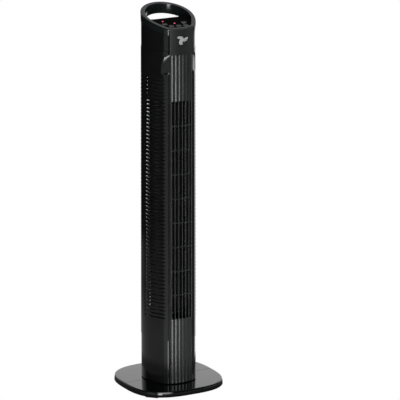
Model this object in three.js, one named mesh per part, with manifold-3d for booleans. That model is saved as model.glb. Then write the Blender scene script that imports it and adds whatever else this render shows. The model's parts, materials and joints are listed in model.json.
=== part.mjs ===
// Tower fan on a two-piece base: an oscillating column with a slatted front grille, louvred side
// intakes, a cross-flow impeller and a slanted head ring that doubles as the carry handle.
// Millimetres, +Z up, the front faces -Y, the origin is on the floor under the column's axis.
import * as THREE from "three";
import { mergeVertices } from "three/addons/utils/BufferGeometryUtils.js";
import Module from "manifold-3d";

const wasm = await Module();
wasm.setup();

// ---------- driving dimensions ----------
const GAP = 0.3; // clearance between touching pieces
const TOTAL_HEIGHT = 960;
const RIM_SLOPE = 0.299; // rise of the head's rim per mm of depth

const REAR_RADIUS = 66.8; // column plan: round back
const REAR_CENTRE_Y = 1.3;
const FRONT_Y = -75; // column plan: bowed front
const FRONT_RADIUS = 100;
const SIDE_EDGE_X = 33; // front edge of the side shells
const CORNERS = [[36.5, -68.3], [43, -62], [48, -54]]; // chamfer beside the front
const SIDE_CURVE = [[57.5, -37.5], [REAR_RADIUS, -21]]; // control points from the chamfer to the back
const REAR_Y = REAR_CENTRE_Y + REAR_RADIUS;
const WALL = 2.6;
const SHORTEST_EDGE = 0.15;

const BASE_HALF = 125.2; // half width of the base at its lower edge
const BASE_TAPER = 2.4;
const BASE_POWER = 2.84; // exponent of the rounded-square outline
const FOOT_HEIGHT = 3;
const BASE_TOP = 17.6;
const BASE_RIM = 14;
const BASE_PLATE = 4;
const NECK_RADIUS = 29;

const COLUMN_BOTTOM = 20;
const COVER_BOTTOM = 132; // louvred covers
const COVER_TOP = 864;
const COVER_PROUD = 0.2;
const LOUVRE_BOTTOM = 184.2;
const LOUVRE_ROWS = 64;
const LOUVRE_PITCH = 9.59;
const LOUVRE_SLOT = 3.2;
const LOUVRE_COLUMNS = [[-54.5, -0.5], [18, 80]]; // degrees round from +X

const PANEL_HALF = 29; // front grille moulding
const PANEL_DEPTH = 5;
const PANEL_BACK_Y = -64.6; // nearest an inner plate comes to the front moulding
const GROOVE_DEPTH = 4.4;
const GROOVE_FLOOR = 1.5; // its thickness
const FLUTES = 6;
const FLUTE_SAG = 1.1;
const OPEN_BOTTOM = 186;
const ROW_PITCH = 61.4;
const ROWS = 9;
const OPEN_TOP = OPEN_BOTTOM + ROWS * ROW_PITCH;
const SLAT_WIDTH = 2.6;
const BAR_HEIGHT = 2.6;

const FASCIA_BOTTOM = COVER_TOP - 9.5; // the smooth front laps the side covers
const MARK_Z = 890;
const MARK_STRETCH = 1.28; // the mark is wider than it is tall
const HEAD_INSET = 1.7; // head shell inside the column's outline
const RING_HEIGHT = 16.3; // slanted head ring, deeper at the back where it is the handle
const HANDLE_HEIGHT = 24.9;
const HANDLE_FRONT_Y = 12;
const RING_WALL = 11;
const DECK_RECESS = 5; // control panel below the rim
const DECK_THICK = 3;
const DECK_REAR_Y = -5.5;
const GRIP_HALF = 55; // finger gap under the ring
const GRIP_FLOOR_Z = 905;
const WELL_THICK = 2.5;

const AXIS_Y = 4; // impeller axis
const IMPELLER_RADIUS = 44;
const IMPELLER_BOTTOM = 192;
const IMPELLER_TOP = 734;
const BLADES = 16;
const BLADE_DEPTH = 10;
const DISCS = 4;
const SHAFT_RADIUS = 3.5;
const MOTOR_RADIUS = 40;
const MOTOR_BOTTOM = 96;
const MOTOR_PLATE_Z = 140;
const TOP_PLATE_Z = 741;
const PLATE = 3;

const POST_RADIUS = 18; // swivel
const POST_BORE = 10;
const FLANGE_RADIUS = 36;
const FLANGE_TOP = 19.3;
const CAP_BOTTOM = 21.4;
const CAP_TOP = 27;
const FORK_THICK = 3;
const OSC_OFFSET = 34; // oscillation motor axis behind the swivel axis
const OSC_SWING = 35; // degrees each way
const CRANK_THROW = OSC_OFFSET * Math.sin(THREE.MathUtils.degToRad(OSC_SWING));
const CRANK_PIN = 2.5;
const FORK_CLEARANCE = 4.2; // the arm's slot is wider than the pin by this on each side
const BOSS = [46, 20]; // posts that carry the oscillation bracket

// ---------- finishes ----------
const finish = (color, roughness, metalness = 0) =>
  new THREE.MeshStandardMaterial({ color, roughness, metalness });
const GLOSS_BLACK = finish(0x0b0c0b, 0.12);
const SATIN_BLACK = finish(0x141514, 0.32);
const SATIN_GREY = finish(0x3a3d3b, 0.4);
const DARK_PLASTIC = finish(0x1a1b1a, 0.6);
const BEIGE_NYLON = finish(0xcfc9ba, 0.55);
const RUBBER = finish(0x0d0d0d, 0.9);
const STEEL = finish(0xa9abad, 0.35, 0.9);
const LAMP_RED = finish(0xd9475f, 0.25);
const BOARD_GREEN = finish(0x1f5a34, 0.6);
const MARK_GREY = finish(0xc9cbca, 0.35);

// ---------- solids ----------
function solid(geometry) {
  const bare = geometry.clone();
  bare.deleteAttribute("normal");
  bare.deleteAttribute("uv");
  const merged = mergeVertices(bare, 1e-4);
  return new wasm.Manifold(
    new wasm.Mesh({
      numProp: 3,
      vertProperties: merged.attributes.position.array,
      triVerts: new Uint32Array(merged.index.array),
    }),
  );
}

function geometryOf(body) {
  const mesh = body.getMesh();
  const geometry = new THREE.BufferGeometry();
  geometry.setAttribute("position", new THREE.Float32BufferAttribute(mesh.vertProperties, 3));
  geometry.setIndex(Array.from(mesh.triVerts));
  const flat = geometry.toNonIndexed();
  flat.computeVertexNormals();
  return flat;
}

const join = (...geometries) => geometryOf(geometries.map(solid).reduce((a, b) => a.add(b)));
const cut = (geometry, ...cutters) =>
  geometryOf(cutters.map(solid).reduce((a, b) => a.subtract(b), solid(geometry)));
const common = (a, b) => geometryOf(solid(a).intersect(solid(b)));

function block([x0, x1], [y0, y1], [z0, z1]) {
  const box = new THREE.BoxGeometry(x1 - x0, y1 - y0, z1 - z0);
  return box.translate((x0 + x1) / 2, (y0 + y1) / 2, (z0 + z1) / 2);
}

function prism(points, z0, z1, holes = []) {
  const shape = new THREE.Shape(points);
  shape.holes = holes.map((hole) => new THREE.Path(hole));
  const geometry = new THREE.ExtrudeGeometry(shape, { depth: z1 - z0, bevelEnabled: false });
  return geometry.translate(0, 0, z0);
}

// A solid of revolution about +Z from [radius, z] points, closed on themselves or on the axis.
function turned(profile, sides = 24, [x, y] = [0, 0]) {
  const points = profile.map(([r, z]) => new THREE.Vector2(r, z));
  if (profile[0][0] > 0) points.push(points[0].clone());
  const geometry = new THREE.LatheGeometry(points, sides);
  return geometry.rotateX(Math.PI / 2).translate(x, y, 0);
}
const rod = (radius, z0, z1, sides, at) =>
  turned([[0, z0], [radius, z0], [radius, z1], [0, z1]], sides, at);
const tube = (inner, outer, z0, z1, sides, at) =>
  turned([[inner, z0], [outer, z0], [outer, z1], [inner, z1]], sides, at);

// ---------- plan outlines ----------
const vec = ([x, y]) => new THREE.Vector2(x, y);
const frontY = (x) => FRONT_Y + (x * x) / (2 * FRONT_RADIUS);

// The column's outline, anticlockwise from the front centre.
function columnOutline() {
  const side = new THREE.CubicBezierCurve(
    vec(CORNERS[2]), vec(SIDE_CURVE[0]), vec(SIDE_CURVE[1]), vec([REAR_RADIUS, REAR_CENTRE_Y]));
  const back = new THREE.EllipseCurve(0, REAR_CENTRE_Y, REAR_RADIUS, REAR_RADIUS, 0, Math.PI / 2);
  const half = [
    ...[11, 22, SIDE_EDGE_X].map((x) => vec([x, frontY(x)])),
    vec(CORNERS[0]),
    vec(CORNERS[1]),
    ...side.getPoints(3).slice(0, -1),
    ...back.getPoints(5).slice(0, -1),
  ];
  const mirrored = half.map((p) => vec([-p.x, p.y])).reverse();
  return [vec([0, FRONT_Y]), ...half, vec([0, REAR_Y]), ...mirrored];
}

// Moves a convex anticlockwise outline inwards by a distance (outwards if negative).
function inset(points, distance) {
  return distance > 0 ? trimmed(points, distance) : grown(points, -distance);
}

function grown(points, distance) {
  return points.map((p, i) => {
    const before = points[(i + points.length - 1) % points.length];
    const after = points[(i + 1) % points.length];
    const a = p.clone().sub(before).normalize();
    const b = after.clone().sub(p).normalize();
    const bisector = vec([a.y + b.y, -a.x - b.x]).normalize();
    return p.clone().addScaledVector(bisector, distance / bisector.dot(vec([a.y, -a.x])));
  });
}

// What is left of a convex outline once a strip along every edge is taken off.
function trimmed(points, distance) {
  let rest = points;
  points.forEach((p, i) => {
    const along = points[(i + 1) % points.length].clone().sub(p).normalize();
    const inward = vec([-along.y, along.x]);
    const depth = (q) => q.clone().sub(p).dot(inward) - distance;
    const kept = [];
    rest.forEach((q, k) => {
      const next = rest[(k + 1) % rest.length];
      if (depth(q) >= 0) kept.push(q);
      if (depth(q) * depth(next) < 0)
        kept.push(q.clone().lerp(next, depth(q) / (depth(q) - depth(next))));
    });
    rest = kept;
  });
  return rest.filter((q, k) => q.distanceTo(rest[(k + 1) % rest.length]) > SHORTEST_EDGE);
}

function roundedSquare(half, steps = 48) {
  const power = 2 / BASE_POWER;
  const reach = (c) => half * Math.sign(c) * Math.abs(c) ** power;
  return Array.from({ length: steps }, (_, i) => {
    const angle = (2 * Math.PI * (i + 0.5)) / steps;
    return vec([reach(Math.cos(angle)), reach(Math.sin(angle))]);
  });
}

// Closed wall between two insets of the column's outline.
const wallRing = (outer, inner, z0, z1) =>
  prism(inset(columnOutline(), outer), z0, z1, [inset(columnOutline(), inner)]);
const frontSlot = (half, z0, z1) => block([-half, half], [-90, -50], [z0, z1]);

// ---------- the slanted head ----------
const RIM_Z = TOTAL_HEIGHT - RIM_SLOPE * REAR_Y; // height of the rim plane over the axis
const rimZ = (y) => RIM_Z + RIM_SLOPE * y;
const SLANT = Math.atan(RIM_SLOPE);

// Shears a geometry whose z is measured from the rim plane onto that plane.
function slanted(geometry) {
  const shear = new THREE.Matrix4().set(1, 0, 0, 0, 0, 1, 0, 0, 0, RIM_SLOPE, 1, RIM_Z, 0, 0, 0, 1);
  return geometry.applyMatrix4(shear);
}
const belowRim = (geometry, depth) =>
  common(geometry, slanted(block([-200, 200], [-200, 200], [-1500, -depth])));

const part = new THREE.Group();
function add(name, geometry, material, parent = part) {
  const mesh = new THREE.Mesh(geometry, material);
  mesh.name = name;
  parent.add(mesh);
  return mesh;
}

// ---------- base ----------
function baseBody() {
  const outer = roundedSquare(BASE_HALF);
  const body = prism(outer, FOOT_HEIGHT, BASE_TOP);
  const spots = body.attributes.position;
  const shrink = (BASE_HALF - BASE_TAPER) / BASE_HALF;
  for (let i = 0; i < spots.count; i++) {
    if (spots.getZ(i) < BASE_TOP - 1) continue;
    spots.setXY(i, spots.getX(i) * shrink, spots.getY(i) * shrink);
  }
  const pocket = prism(roundedSquare(BASE_HALF - BASE_RIM), -1, BASE_TOP - BASE_PLATE);
  return cut(body, pocket, rod(NECK_RADIUS + GAP, -1, BASE_TOP + 1, 32));
}

function addBase() {
  const body = baseBody();
  const half = (sign) => block([-150, 150], sign > 0 ? [GAP / 2, 150] : [-150, -GAP / 2], [0, 40]);
  add("base_front_half", common(body, half(-1)), GLOSS_BLACK);
  add("base_rear_half", common(body, half(1)), GLOSS_BLACK);

  const pads = [[94, -89, 45, 34], [-94, -89, -45, 34], [94, 89, 135, 34], [-94, 89, -135, 34],
    [116, 10, 90, 22], [-116, 10, -90, 22]];
  pads.forEach(([x, y, turn, length], i) => {
    const pad = padShape(length, 8);
    pad.rotateZ(THREE.MathUtils.degToRad(turn)).translate(x, y, 0);
    add(`rubber_foot_${i + 1}`, pad, RUBBER);
  });
}

// A flat pad with round ends, as tall as the feet less the fitting gap.
function padShape(length, width) {
  const reach = (length - width) / 2;
  const outline = new THREE.Shape();
  outline.absarc(reach, 0, width / 2, -Math.PI / 2, Math.PI / 2);
  outline.absarc(-reach, 0, width / 2, Math.PI / 2, (3 * Math.PI) / 2);
  return prism(outline.getPoints(4), 0, FOOT_HEIGHT - GAP);
}

// ---------- swivel ----------
function addSwivel() {
  const neckBottom = 6;
  add("swivel_post", turned([
    [POST_BORE, neckBottom], [NECK_RADIUS, neckBottom], [NECK_RADIUS, BASE_TOP + GAP],
    [FLANGE_RADIUS, BASE_TOP + GAP], [FLANGE_RADIUS, FLANGE_TOP], [POST_RADIUS, FLANGE_TOP],
    [POST_RADIUS, CAP_TOP], [POST_BORE, CAP_TOP]], 32), DARK_PLASTIC);
  const nutTop = BASE_TOP - BASE_PLATE - GAP;
  add("base_lock_nut", tube(NECK_RADIUS + GAP, 42, neckBottom + 2, nutTop, 32), DARK_PLASTIC);
  add("thrust_washer",
    tube(POST_RADIUS + 0.6, 33, FLANGE_TOP + GAP, CAP_BOTTOM - GAP, 32), BEIGE_NYLON);

  const armReach = OSC_OFFSET + CRANK_THROW + 6;
  const slotHalf = CRANK_PIN + FORK_CLEARANCE;
  const forkBottom = CAP_TOP + GAP;
  const forkTop = forkBottom + FORK_THICK;
  const arm = block([-slotHalf - 5, slotHalf + 5], [0, armReach], [forkBottom, forkTop]);
  const slotStart = OSC_OFFSET - CRANK_THROW - CRANK_PIN - 1;
  const slot = block([-slotHalf, slotHalf], [slotStart, armReach + 1], [forkBottom - 1, forkTop + 1]);
  const fork = cut(join(rod(26, forkBottom, forkTop, 24), arm), slot,
    rod(POST_BORE, forkBottom - 1, forkTop + 1, 16));
  add("swivel_fork", fork, STEEL);
  [[-12.5, 3], [0, -14], [12.5, 3]].forEach((at, i) => {
    add(`swivel_screw_${i + 1}`, rod(3, forkTop + GAP, forkTop + 2.3, 8, at), STEEL);
  });
}

function addOscillator() {
  const forkTop = CAP_TOP + GAP + FORK_THICK;
  const crankBottom = forkTop + 2.6;
  const crankTop = crankBottom + 3.4;
  const pin = rod(CRANK_PIN, CAP_TOP + 0.8, crankBottom + 1, 12, [0, OSC_OFFSET + CRANK_THROW]);
  const disc = rod(CRANK_THROW + 4.5, crankBottom, crankTop, 24, [0, OSC_OFFSET]);
  const stub = rod(3.5, crankTop - 1, crankTop + 4, 12, [0, OSC_OFFSET]);
  add("oscillation_crank", join(pin, disc, stub), BEIGE_NYLON);
  const motorBottom = crankTop + 1.7;
  const motorTop = motorBottom + 18;
  const motor = cut(rod(25, motorBottom, motorTop, 24, [0, OSC_OFFSET]),
    rod(4, motorBottom - 1, motorBottom + 4, 12, [0, OSC_OFFSET]));
  add("oscillation_motor", motor, STEEL);
  const bracketZ = motorTop + GAP;
  const plate = block([-BOSS[0] - 5, BOSS[0] + 5], [BOSS[1] - 6, OSC_OFFSET + 10],
    [bracketZ, bracketZ + 2]);
  const corners = prism(inset(columnOutline(), WALL + 2), bracketZ - 1, bracketZ + 3);
  add("oscillation_bracket", common(plate, corners), STEEL);
  return bracketZ;
}

function addBottomCap(bracketZ) {
  const floor = prism(inset(columnOutline(), WALL + GAP), CAP_BOTTOM, CAP_TOP);
  const bosses = [-1, 1].map((side) =>
    rod(4, CAP_TOP - 1, bracketZ - GAP, 12, [side * BOSS[0], BOSS[1]]));
  const cap = cut(join(floor, ...bosses), rod(POST_RADIUS + 0.4, 0, CAP_TOP + 1, 32),
    block([-100, 100], [-100, PANEL_BACK_Y], [0, 60]));
  add("bottom_cap", cap, DARK_PLASTIC);
}

// ---------- column shells ----------
function addLowerShell() {
  const ring = wallRing(0, WALL, COLUMN_BOTTOM, COVER_BOTTOM - GAP);
  const glandHole = rod(5.3, 55, 90, 12).rotateX(-Math.PI / 2).translate(0, 0, 45);
  add("lower_body_shell", cut(ring, frontSlot(SIDE_EDGE_X, 0, 200), glandHole), SATIN_BLACK);
  const gland = turned([[3.2, 60], [5, 60], [5, REAR_Y + GAP], [8, REAR_Y + GAP], [6.5, 76],
    [4.8, 84], [3.2, 84]], 16).rotateX(-Math.PI / 2).translate(0, 0, 45);
  add("cord_gland", gland, RUBBER);
}

// Plan wedge that reaches through the wall between two directions seen from the plan centre.
const wedge = (a, b, z0, z1) =>
  prism([vec([0, 0]), vec([Math.cos(a) * 120, Math.sin(a) * 120]),
    vec([Math.cos((a + b) / 2) * 140, Math.sin((a + b) / 2) * 140]),
    vec([Math.cos(b) * 120, Math.sin(b) * 120])], z0, z1);

function addIntakeCover(name, side) {
  const degrees = THREE.MathUtils.degToRad;
  const ring = wallRing(-COVER_PROUD, WALL - COVER_PROUD, COVER_BOTTOM, COVER_TOP - GAP);
  const half = block([GAP / 2, 100], [-100, 100], [0, 1000]);
  const slots = [];
  for (const [from, to] of LOUVRE_COLUMNS) {
    for (let row = 0; row < LOUVRE_ROWS; row++) {
      const z = LOUVRE_BOTTOM + row * LOUVRE_PITCH + (LOUVRE_PITCH - LOUVRE_SLOT) / 2;
      slots.push(wedge(degrees(from), degrees(to), z, z + LOUVRE_SLOT));
    }
  }
  const holes = SCREW_HEIGHTS.map((z) => screwHole(z));
  const cover = cut(common(ring, half), frontSlot(SIDE_EDGE_X, 0, 1000), ...slots, ...holes);
  if (side < 0) add(name, mirroredX(cover), SATIN_BLACK);
  else add(name, cover, SATIN_BLACK);
}

// The same body on the other side of the fan's middle plane.
function mirroredX(geometry) {
  const flipped = geometry.clone().scale(-1, 1, 1);
  const spots = flipped.attributes.position.array;
  for (let i = 0; i < spots.length; i += 9)
    for (let k = 0; k < 3; k++)
      [spots[i + 3 + k], spots[i + 6 + k]] = [spots[i + 6 + k], spots[i + 3 + k]];
  flipped.computeVertexNormals();
  return flipped;
}

const SCREW_HEIGHTS = [158, 838];
const SCREW_X = 9;
const screwHole = (z) =>
  rod(3.6, 55, 90, 12).rotateX(-Math.PI / 2).translate(SCREW_X, 0, z);

function addRearScrews() {
  let count = 0;
  for (const z of SCREW_HEIGHTS)
    for (const side of [-1, 1]) {
      const screw = turned([[0, 60], [1.6, 60], [1.6, 66], [3.2, 66], [3.2, 68.6], [0, 68.6]], 10)
        .rotateX(-Math.PI / 2).translate(side * SCREW_X, 0, z);
      add(`rear_screw_${++count}`, screw, STEEL);
    }
}

// ---------- front ----------
// Plan strip of the front between two depths behind its surface.
function frontStrip(halfWidth, depthFrom, depthTo, steps = 6) {
  const xs = Array.from({ length: steps + 1 }, (_, i) => halfWidth * ((2 * i) / steps - 1));
  return [
    ...xs.map((x) => vec([x, frontY(x) + depthFrom])),
    ...xs.reverse().map((x) => vec([x, frontY(x) + depthTo])),
  ];
}

function flutedStrip() {
  const pitch = (2 * PANEL_HALF) / FLUTES;
  const front = [];
  for (let i = 0; i <= FLUTES * 4; i++) {
    const x = -PANEL_HALF + (i * pitch) / 4;
    const crest = Math.sin((Math.PI * (i % 4)) / 4) * FLUTE_SAG;
    front.push(vec([x, frontY(x) + 1.4 - crest]));
  }
  const back = [1, 0.5, 0, -0.5, -1].map((s) => s * PANEL_HALF);
  return [...front, ...back.map((x) => vec([x, frontY(x) + PANEL_DEPTH]))];
}

function addFrontGrille() {
  const pieces = [
    prism(flutedStrip(), COLUMN_BOTTOM, OPEN_BOTTOM),
    prism(flutedStrip(), OPEN_TOP, FASCIA_BOTTOM - GAP),
  ];
  const pitch = (2 * PANEL_HALF) / FLUTES;
  for (let i = 0; i <= FLUTES; i++) {
    const x = -PANEL_HALF + i * pitch;
    const edge = i === 0 || i === FLUTES;
    const middle = edge ? x - Math.sign(x) * (SLAT_WIDTH / 2) : x;
    const y = frontY(middle);
    pieces.push(block([middle - SLAT_WIDTH / 2, middle + SLAT_WIDTH / 2],
      [y + 0.5, y + PANEL_DEPTH], [OPEN_BOTTOM - 1, OPEN_TOP + 1]));
  }
  for (let row = 1; row < ROWS; row++) {
    const z = OPEN_BOTTOM + row * ROW_PITCH;
    pieces.push(prism(frontStrip(PANEL_HALF - 0.2, 0.9, 3.6), z - BAR_HEIGHT / 2, z + BAR_HEIGHT / 2));
  }
  // Floors of the two grooves between the moulding and the side shells.
  for (const side of [-1, 1]) {
    const reach = [PANEL_HALF - 1, SIDE_EDGE_X - GAP].map((x) => side * x).sort((a, b) => a - b);
    const y = frontY(PANEL_HALF) + GROOVE_DEPTH;
    pieces.push(block(reach, [y, y + GROOVE_FLOOR], [COLUMN_BOTTOM, FASCIA_BOTTOM - GAP]));
  }
  add("front_grille", join(...pieces), SATIN_GREY);
}

function addFascia() {
  const plate = prism(frontStrip(SIDE_EDGE_X - 0.8, 0, 2.6), FASCIA_BOTTOM, TOTAL_HEIGHT);
  add("front_fascia", belowRim(plate, GAP), SATIN_GREY);

  // Generic fan mark: swept blades round a hub.
  const blades = 3;
  const steps = 30;
  const mark = Array.from({ length: steps }, (_, i) => {
    const angle = (2 * Math.PI * i) / steps;
    const radius = 8.4 + 4.4 * Math.cos(blades * angle);
    const swept = angle + Math.PI / 2 + radius * 0.07;
    return vec([MARK_STRETCH * radius * Math.cos(swept), radius * Math.sin(swept)]);
  });
  const centre = new THREE.Box2().setFromPoints(mark).getCenter(new THREE.Vector2());
  const badge = prism(mark.map((p) => p.sub(centre)), -5, 5).rotateX(Math.PI / 2)
    .translate(0, FRONT_Y, MARK_Z);
  const skin = prism(frontStrip(20, -GAP - 0.7, -GAP, 8), MARK_Z - 20, MARK_Z + 20);
  add("emblem", common(badge, skin), MARK_GREY);
}

// ---------- head ----------
function addHead() {
  const shell = cut(wallRing(HEAD_INSET, HEAD_INSET + WALL, COVER_TOP, TOTAL_HEIGHT),
    frontSlot(SIDE_EDGE_X, 800, 1000),
    block([-GRIP_HALF, GRIP_HALF], [0, 100], [GRIP_FLOOR_Z, 1000]));
  const handleRoom = slanted(block([-80, 80], [HANDLE_FRONT_Y - GAP, 80], [-HANDLE_HEIGHT - GAP, 0]));
  add("head_shell", cut(belowRim(shell, RING_HEIGHT + GAP), handleRoom), SATIN_BLACK);

  const wall = slanted(wallRing(0, RING_WALL, -HANDLE_HEIGHT, 0));
  const ring = cut(wall,
    slanted(block([-80, 80], [-80, HANDLE_FRONT_Y], [-HANDLE_HEIGHT - 1, -RING_HEIGHT])));
  const fasciaSeat = prism([vec([-SIDE_EDGE_X, -90]), vec([SIDE_EDGE_X, -90]),
    ...frontStrip(SIDE_EDGE_X, 0, 2.6 + GAP).slice(7)], 850, 1000);
  add("handle_ring", cut(ring, fasciaSeat), GLOSS_BLACK);
  addWell();
  addControlPanel();
}

// Scooped hollow behind the control panel that opens through the back under the ring.
function addWell() {
  const top = new THREE.CubicBezierCurve(
    vec([DECK_REAR_Y + WELL_THICK, rimZ(DECK_REAR_Y) - DECK_RECESS - GAP]),
    vec([DECK_REAR_Y + 4, GRIP_FLOOR_Z - 5]),
    vec([20, GRIP_FLOOR_Z - 1]), vec([REAR_Y + 5, GRIP_FLOOR_Z - GAP]));
  const upper = top.getPoints(8);
  const lower = upper.map((p) => vec([p.x - WELL_THICK * 0.6, p.y - WELL_THICK])).reverse();
  const sheet = prism([...upper, ...lower], -80, 80);
  sheet.applyMatrix4(new THREE.Matrix4().set(0, 0, 1, 0, 1, 0, 0, 0, 0, 1, 0, 0, 0, 0, 0, 1));
  const room = prism(inset(columnOutline(), HEAD_INSET + WALL + GAP), 800, 1000);
  const under = belowRim(common(sheet, room), HANDLE_HEIGHT + 1);
  const mid = common(common(sheet, room), prism(inset(columnOutline(), RING_WALL + GAP), 800, 1000));
  add("handle_well", join(under, mid), SATIN_BLACK);
}

const deck = new THREE.Group(); // local x right, y up the slope, z out of the panel
deck.rotation.x = SLANT;
const DECK_MID_Y = -38;
deck.position.set(0, DECK_MID_Y, rimZ(DECK_MID_Y) - DECK_RECESS);
deck.updateMatrixWorld(true);
// A place on the panel from its plan position.
const onDeck = ([x, y]) => [x, (y - DECK_MID_Y) / Math.cos(SLANT)];

const BUTTONS = { power: [-27.8, -35.5], speed: [-15.9, -47.2], mode: [3.6, -48.8],
  timer: [21.9, -50.2], swing: [24.4, -36.4] };
const LAMPS = { left: [-25.3, -20.3], right: [-0.2, -34.5] };
const BUTTON_SIZE = [7.4, 5.4]; // half axes
const BUTTON_TRAVEL = 1;
const LAMP_SIZE = [2.6, 1.8];

// Upright oval pin standing at a place on the panel, between two heights from its face.
function oval([rx, ry], place, z0, z1, sides = 16) {
  const [x, y] = onDeck(place);
  const points = new THREE.EllipseCurve(0, 0, rx, ry).getPoints(sides).slice(0, -1);
  return prism(points, z0, z1).translate(x, y, 0);
}

function addControlPanel() {
  const room = inset(columnOutline(), RING_WALL + GAP);
  const whole = slanted(prism(room, -DECK_RECESS - DECK_THICK, -DECK_RECESS));
  const front = block([-80, 80], [-80, DECK_REAR_Y], [800, 1000]);
  const hole = (size, place) =>
    oval(size.map((r) => r + GAP), place, -10, 10).applyMatrix4(deck.matrixWorld);
  const holes = [
    ...Object.values(BUTTONS).map((place) => hole(BUTTON_SIZE, place)),
    ...Object.values(LAMPS).map((place) => hole(LAMP_SIZE, place)),
  ];
  add("control_panel", cut(common(whole, front), ...holes), GLOSS_BLACK);
  for (const [name, place] of Object.entries(BUTTONS)) {
    const cap = oval(BUTTON_SIZE, place, -4.2, 1.2);
    add(`${name}_button`, cap, SATIN_BLACK, deck);
  }
  for (const [name, place] of Object.entries(LAMPS))
    add(`${name}_lamp`, oval(LAMP_SIZE, place, -5, 0.5), LAMP_RED, deck);
  part.add(deck);
  addBoard();
}

function addBoard() {
  const boardTop = -DECK_THICK - BUTTON_TRAVEL - 4.4;
  add("control_board", block([-30, 30], [-17, 24], [boardTop - 1.6, boardTop]), BOARD_GREEN, deck);
  add("infrared_receiver", block([8, 15], [0, 6], [boardTop + GAP, boardTop + 4]), DARK_PLASTIC,
    deck);
}

// ---------- air path ----------
const columnPlate = (z, margin, ...holes) =>
  cut(prism(inset(columnOutline(), margin), z, z + PLATE),
    block([-100, 100], [-100, PANEL_BACK_Y], [z - 1, z + 4]), ...holes);

function addAirPath() {
  const axis = [0, AXIS_Y];
  add("motor_bracket", columnPlate(MOTOR_PLATE_Z, WALL + GAP, rod(6, 100, 200, 16, axis)),
    DARK_PLASTIC);
  add("top_bearing_plate", columnPlate(TOP_PLATE_Z, WALL + GAP, rod(14.3, 700, 800, 16, axis)),
    DARK_PLASTIC);
  const low = MOTOR_PLATE_Z + PLATE + GAP;
  const high = TOP_PLATE_Z - GAP;
  add("air_scroll", prism(curvedWall([[31, -63], [42, -52], [53, -26], [53, 2]], 2), low, high),
    DARK_PLASTIC);
  add("air_tongue", prism(curvedWall([[-31, -63], [-36, -60], [-38, -50], [-33, -38]], 2), low, high),
    DARK_PLASTIC);
}

// A thin wall in plan along a cubic curve given by its four control points.
function curvedWall(controls, thickness) {
  const curve = new THREE.CubicBezierCurve(...controls.map(vec));
  const spots = curve.getPoints(6);
  const shifted = spots.map((p, i) => {
    const along = curve.getTangent(i / 6);
    return vec([p.x - along.y * thickness, p.y + along.x * thickness]);
  });
  return [...spots, ...shifted.reverse()];
}

function addFanDrive() {
  const axis = [0, AXIS_Y];
  const motorTop = MOTOR_PLATE_Z - GAP;
  const r = MOTOR_RADIUS;
  add("fan_motor", cut(turned([[0, MOTOR_BOTTOM], [r - 14, MOTOR_BOTTOM], [r - 8, MOTOR_BOTTOM + 8],
    [r, MOTOR_BOTTOM + 12], [r, motorTop - 10], [r - 6, motorTop], [0, motorTop]], 24, axis),
    rod(SHAFT_RADIUS + GAP, 118, 150, 12, axis)), STEEL);
  add("motor_shaft", rod(SHAFT_RADIUS, 119, IMPELLER_BOTTOM - 6, 12, axis), STEEL);
  add("coupling_hub", turned([[SHAFT_RADIUS + GAP, 152], [9, 152], [9, 180],
    [16, IMPELLER_BOTTOM - 4], [16, IMPELLER_BOTTOM - GAP], [SHAFT_RADIUS + GAP, IMPELLER_BOTTOM - GAP]],
    16, axis), BEIGE_NYLON);
  addImpeller();
  add("top_bearing_bush", tube(4.2, 8, TOP_PLATE_Z - 1, TOP_PLATE_Z + 6, 12, axis), BEIGE_NYLON);
  add("top_bearing_rubber", tube(8 + GAP, 14, TOP_PLATE_Z - 1, TOP_PLATE_Z + 6, 16, axis), RUBBER);
  add("run_capacitor", block([-20, 20], [-61, -43], [112, MOTOR_PLATE_Z - GAP]), DARK_PLASTIC);
}

function addImpeller() {
  const discThick = 2.4;
  const span = IMPELLER_TOP - IMPELLER_BOTTOM - discThick;
  const pieces = [];
  for (let i = 0; i < DISCS; i++) {
    const z = IMPELLER_BOTTOM + (span * i) / (DISCS - 1);
    const end = i === 0 || i === DISCS - 1;
    const inner = IMPELLER_RADIUS - BLADE_DEPTH - 2;
    pieces.push(end ? rod(IMPELLER_RADIUS, z, z + discThick, 32)
      : tube(inner, IMPELLER_RADIUS, z, z + discThick, 32));
  }
  for (let i = 0; i < BLADES; i++) {
    const blade = block([-0.7, 0.7], [-BLADE_DEPTH / 2, BLADE_DEPTH / 2],
      [IMPELLER_BOTTOM + 1, IMPELLER_TOP - 1]);
    blade.rotateZ(THREE.MathUtils.degToRad(28)).translate(0, IMPELLER_RADIUS - BLADE_DEPTH / 2 - 1, 0);
    pieces.push(blade.rotateZ((2 * Math.PI * i) / BLADES));
  }
  pieces.push(rod(4, IMPELLER_TOP - 1, TOP_PLATE_Z + 5, 12));
  add("impeller", join(...pieces).translate(0, AXIS_Y, 0), DARK_PLASTIC);
}

addBase();
addSwivel();
addBottomCap(addOscillator());
addLowerShell();
addIntakeCover("left_intake_cover", -1);
addIntakeCover("right_intake_cover", 1);
addRearScrews();
addFrontGrille();
addFascia();
addHead();
addAirPath();
addFanDrive();

export default part;
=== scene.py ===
# Looks for a black tower fan: refined shells, grilles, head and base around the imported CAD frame.
import json
import math

import bmesh
import bpy
from mathutils import Matrix, Quaternion, Vector


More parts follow.
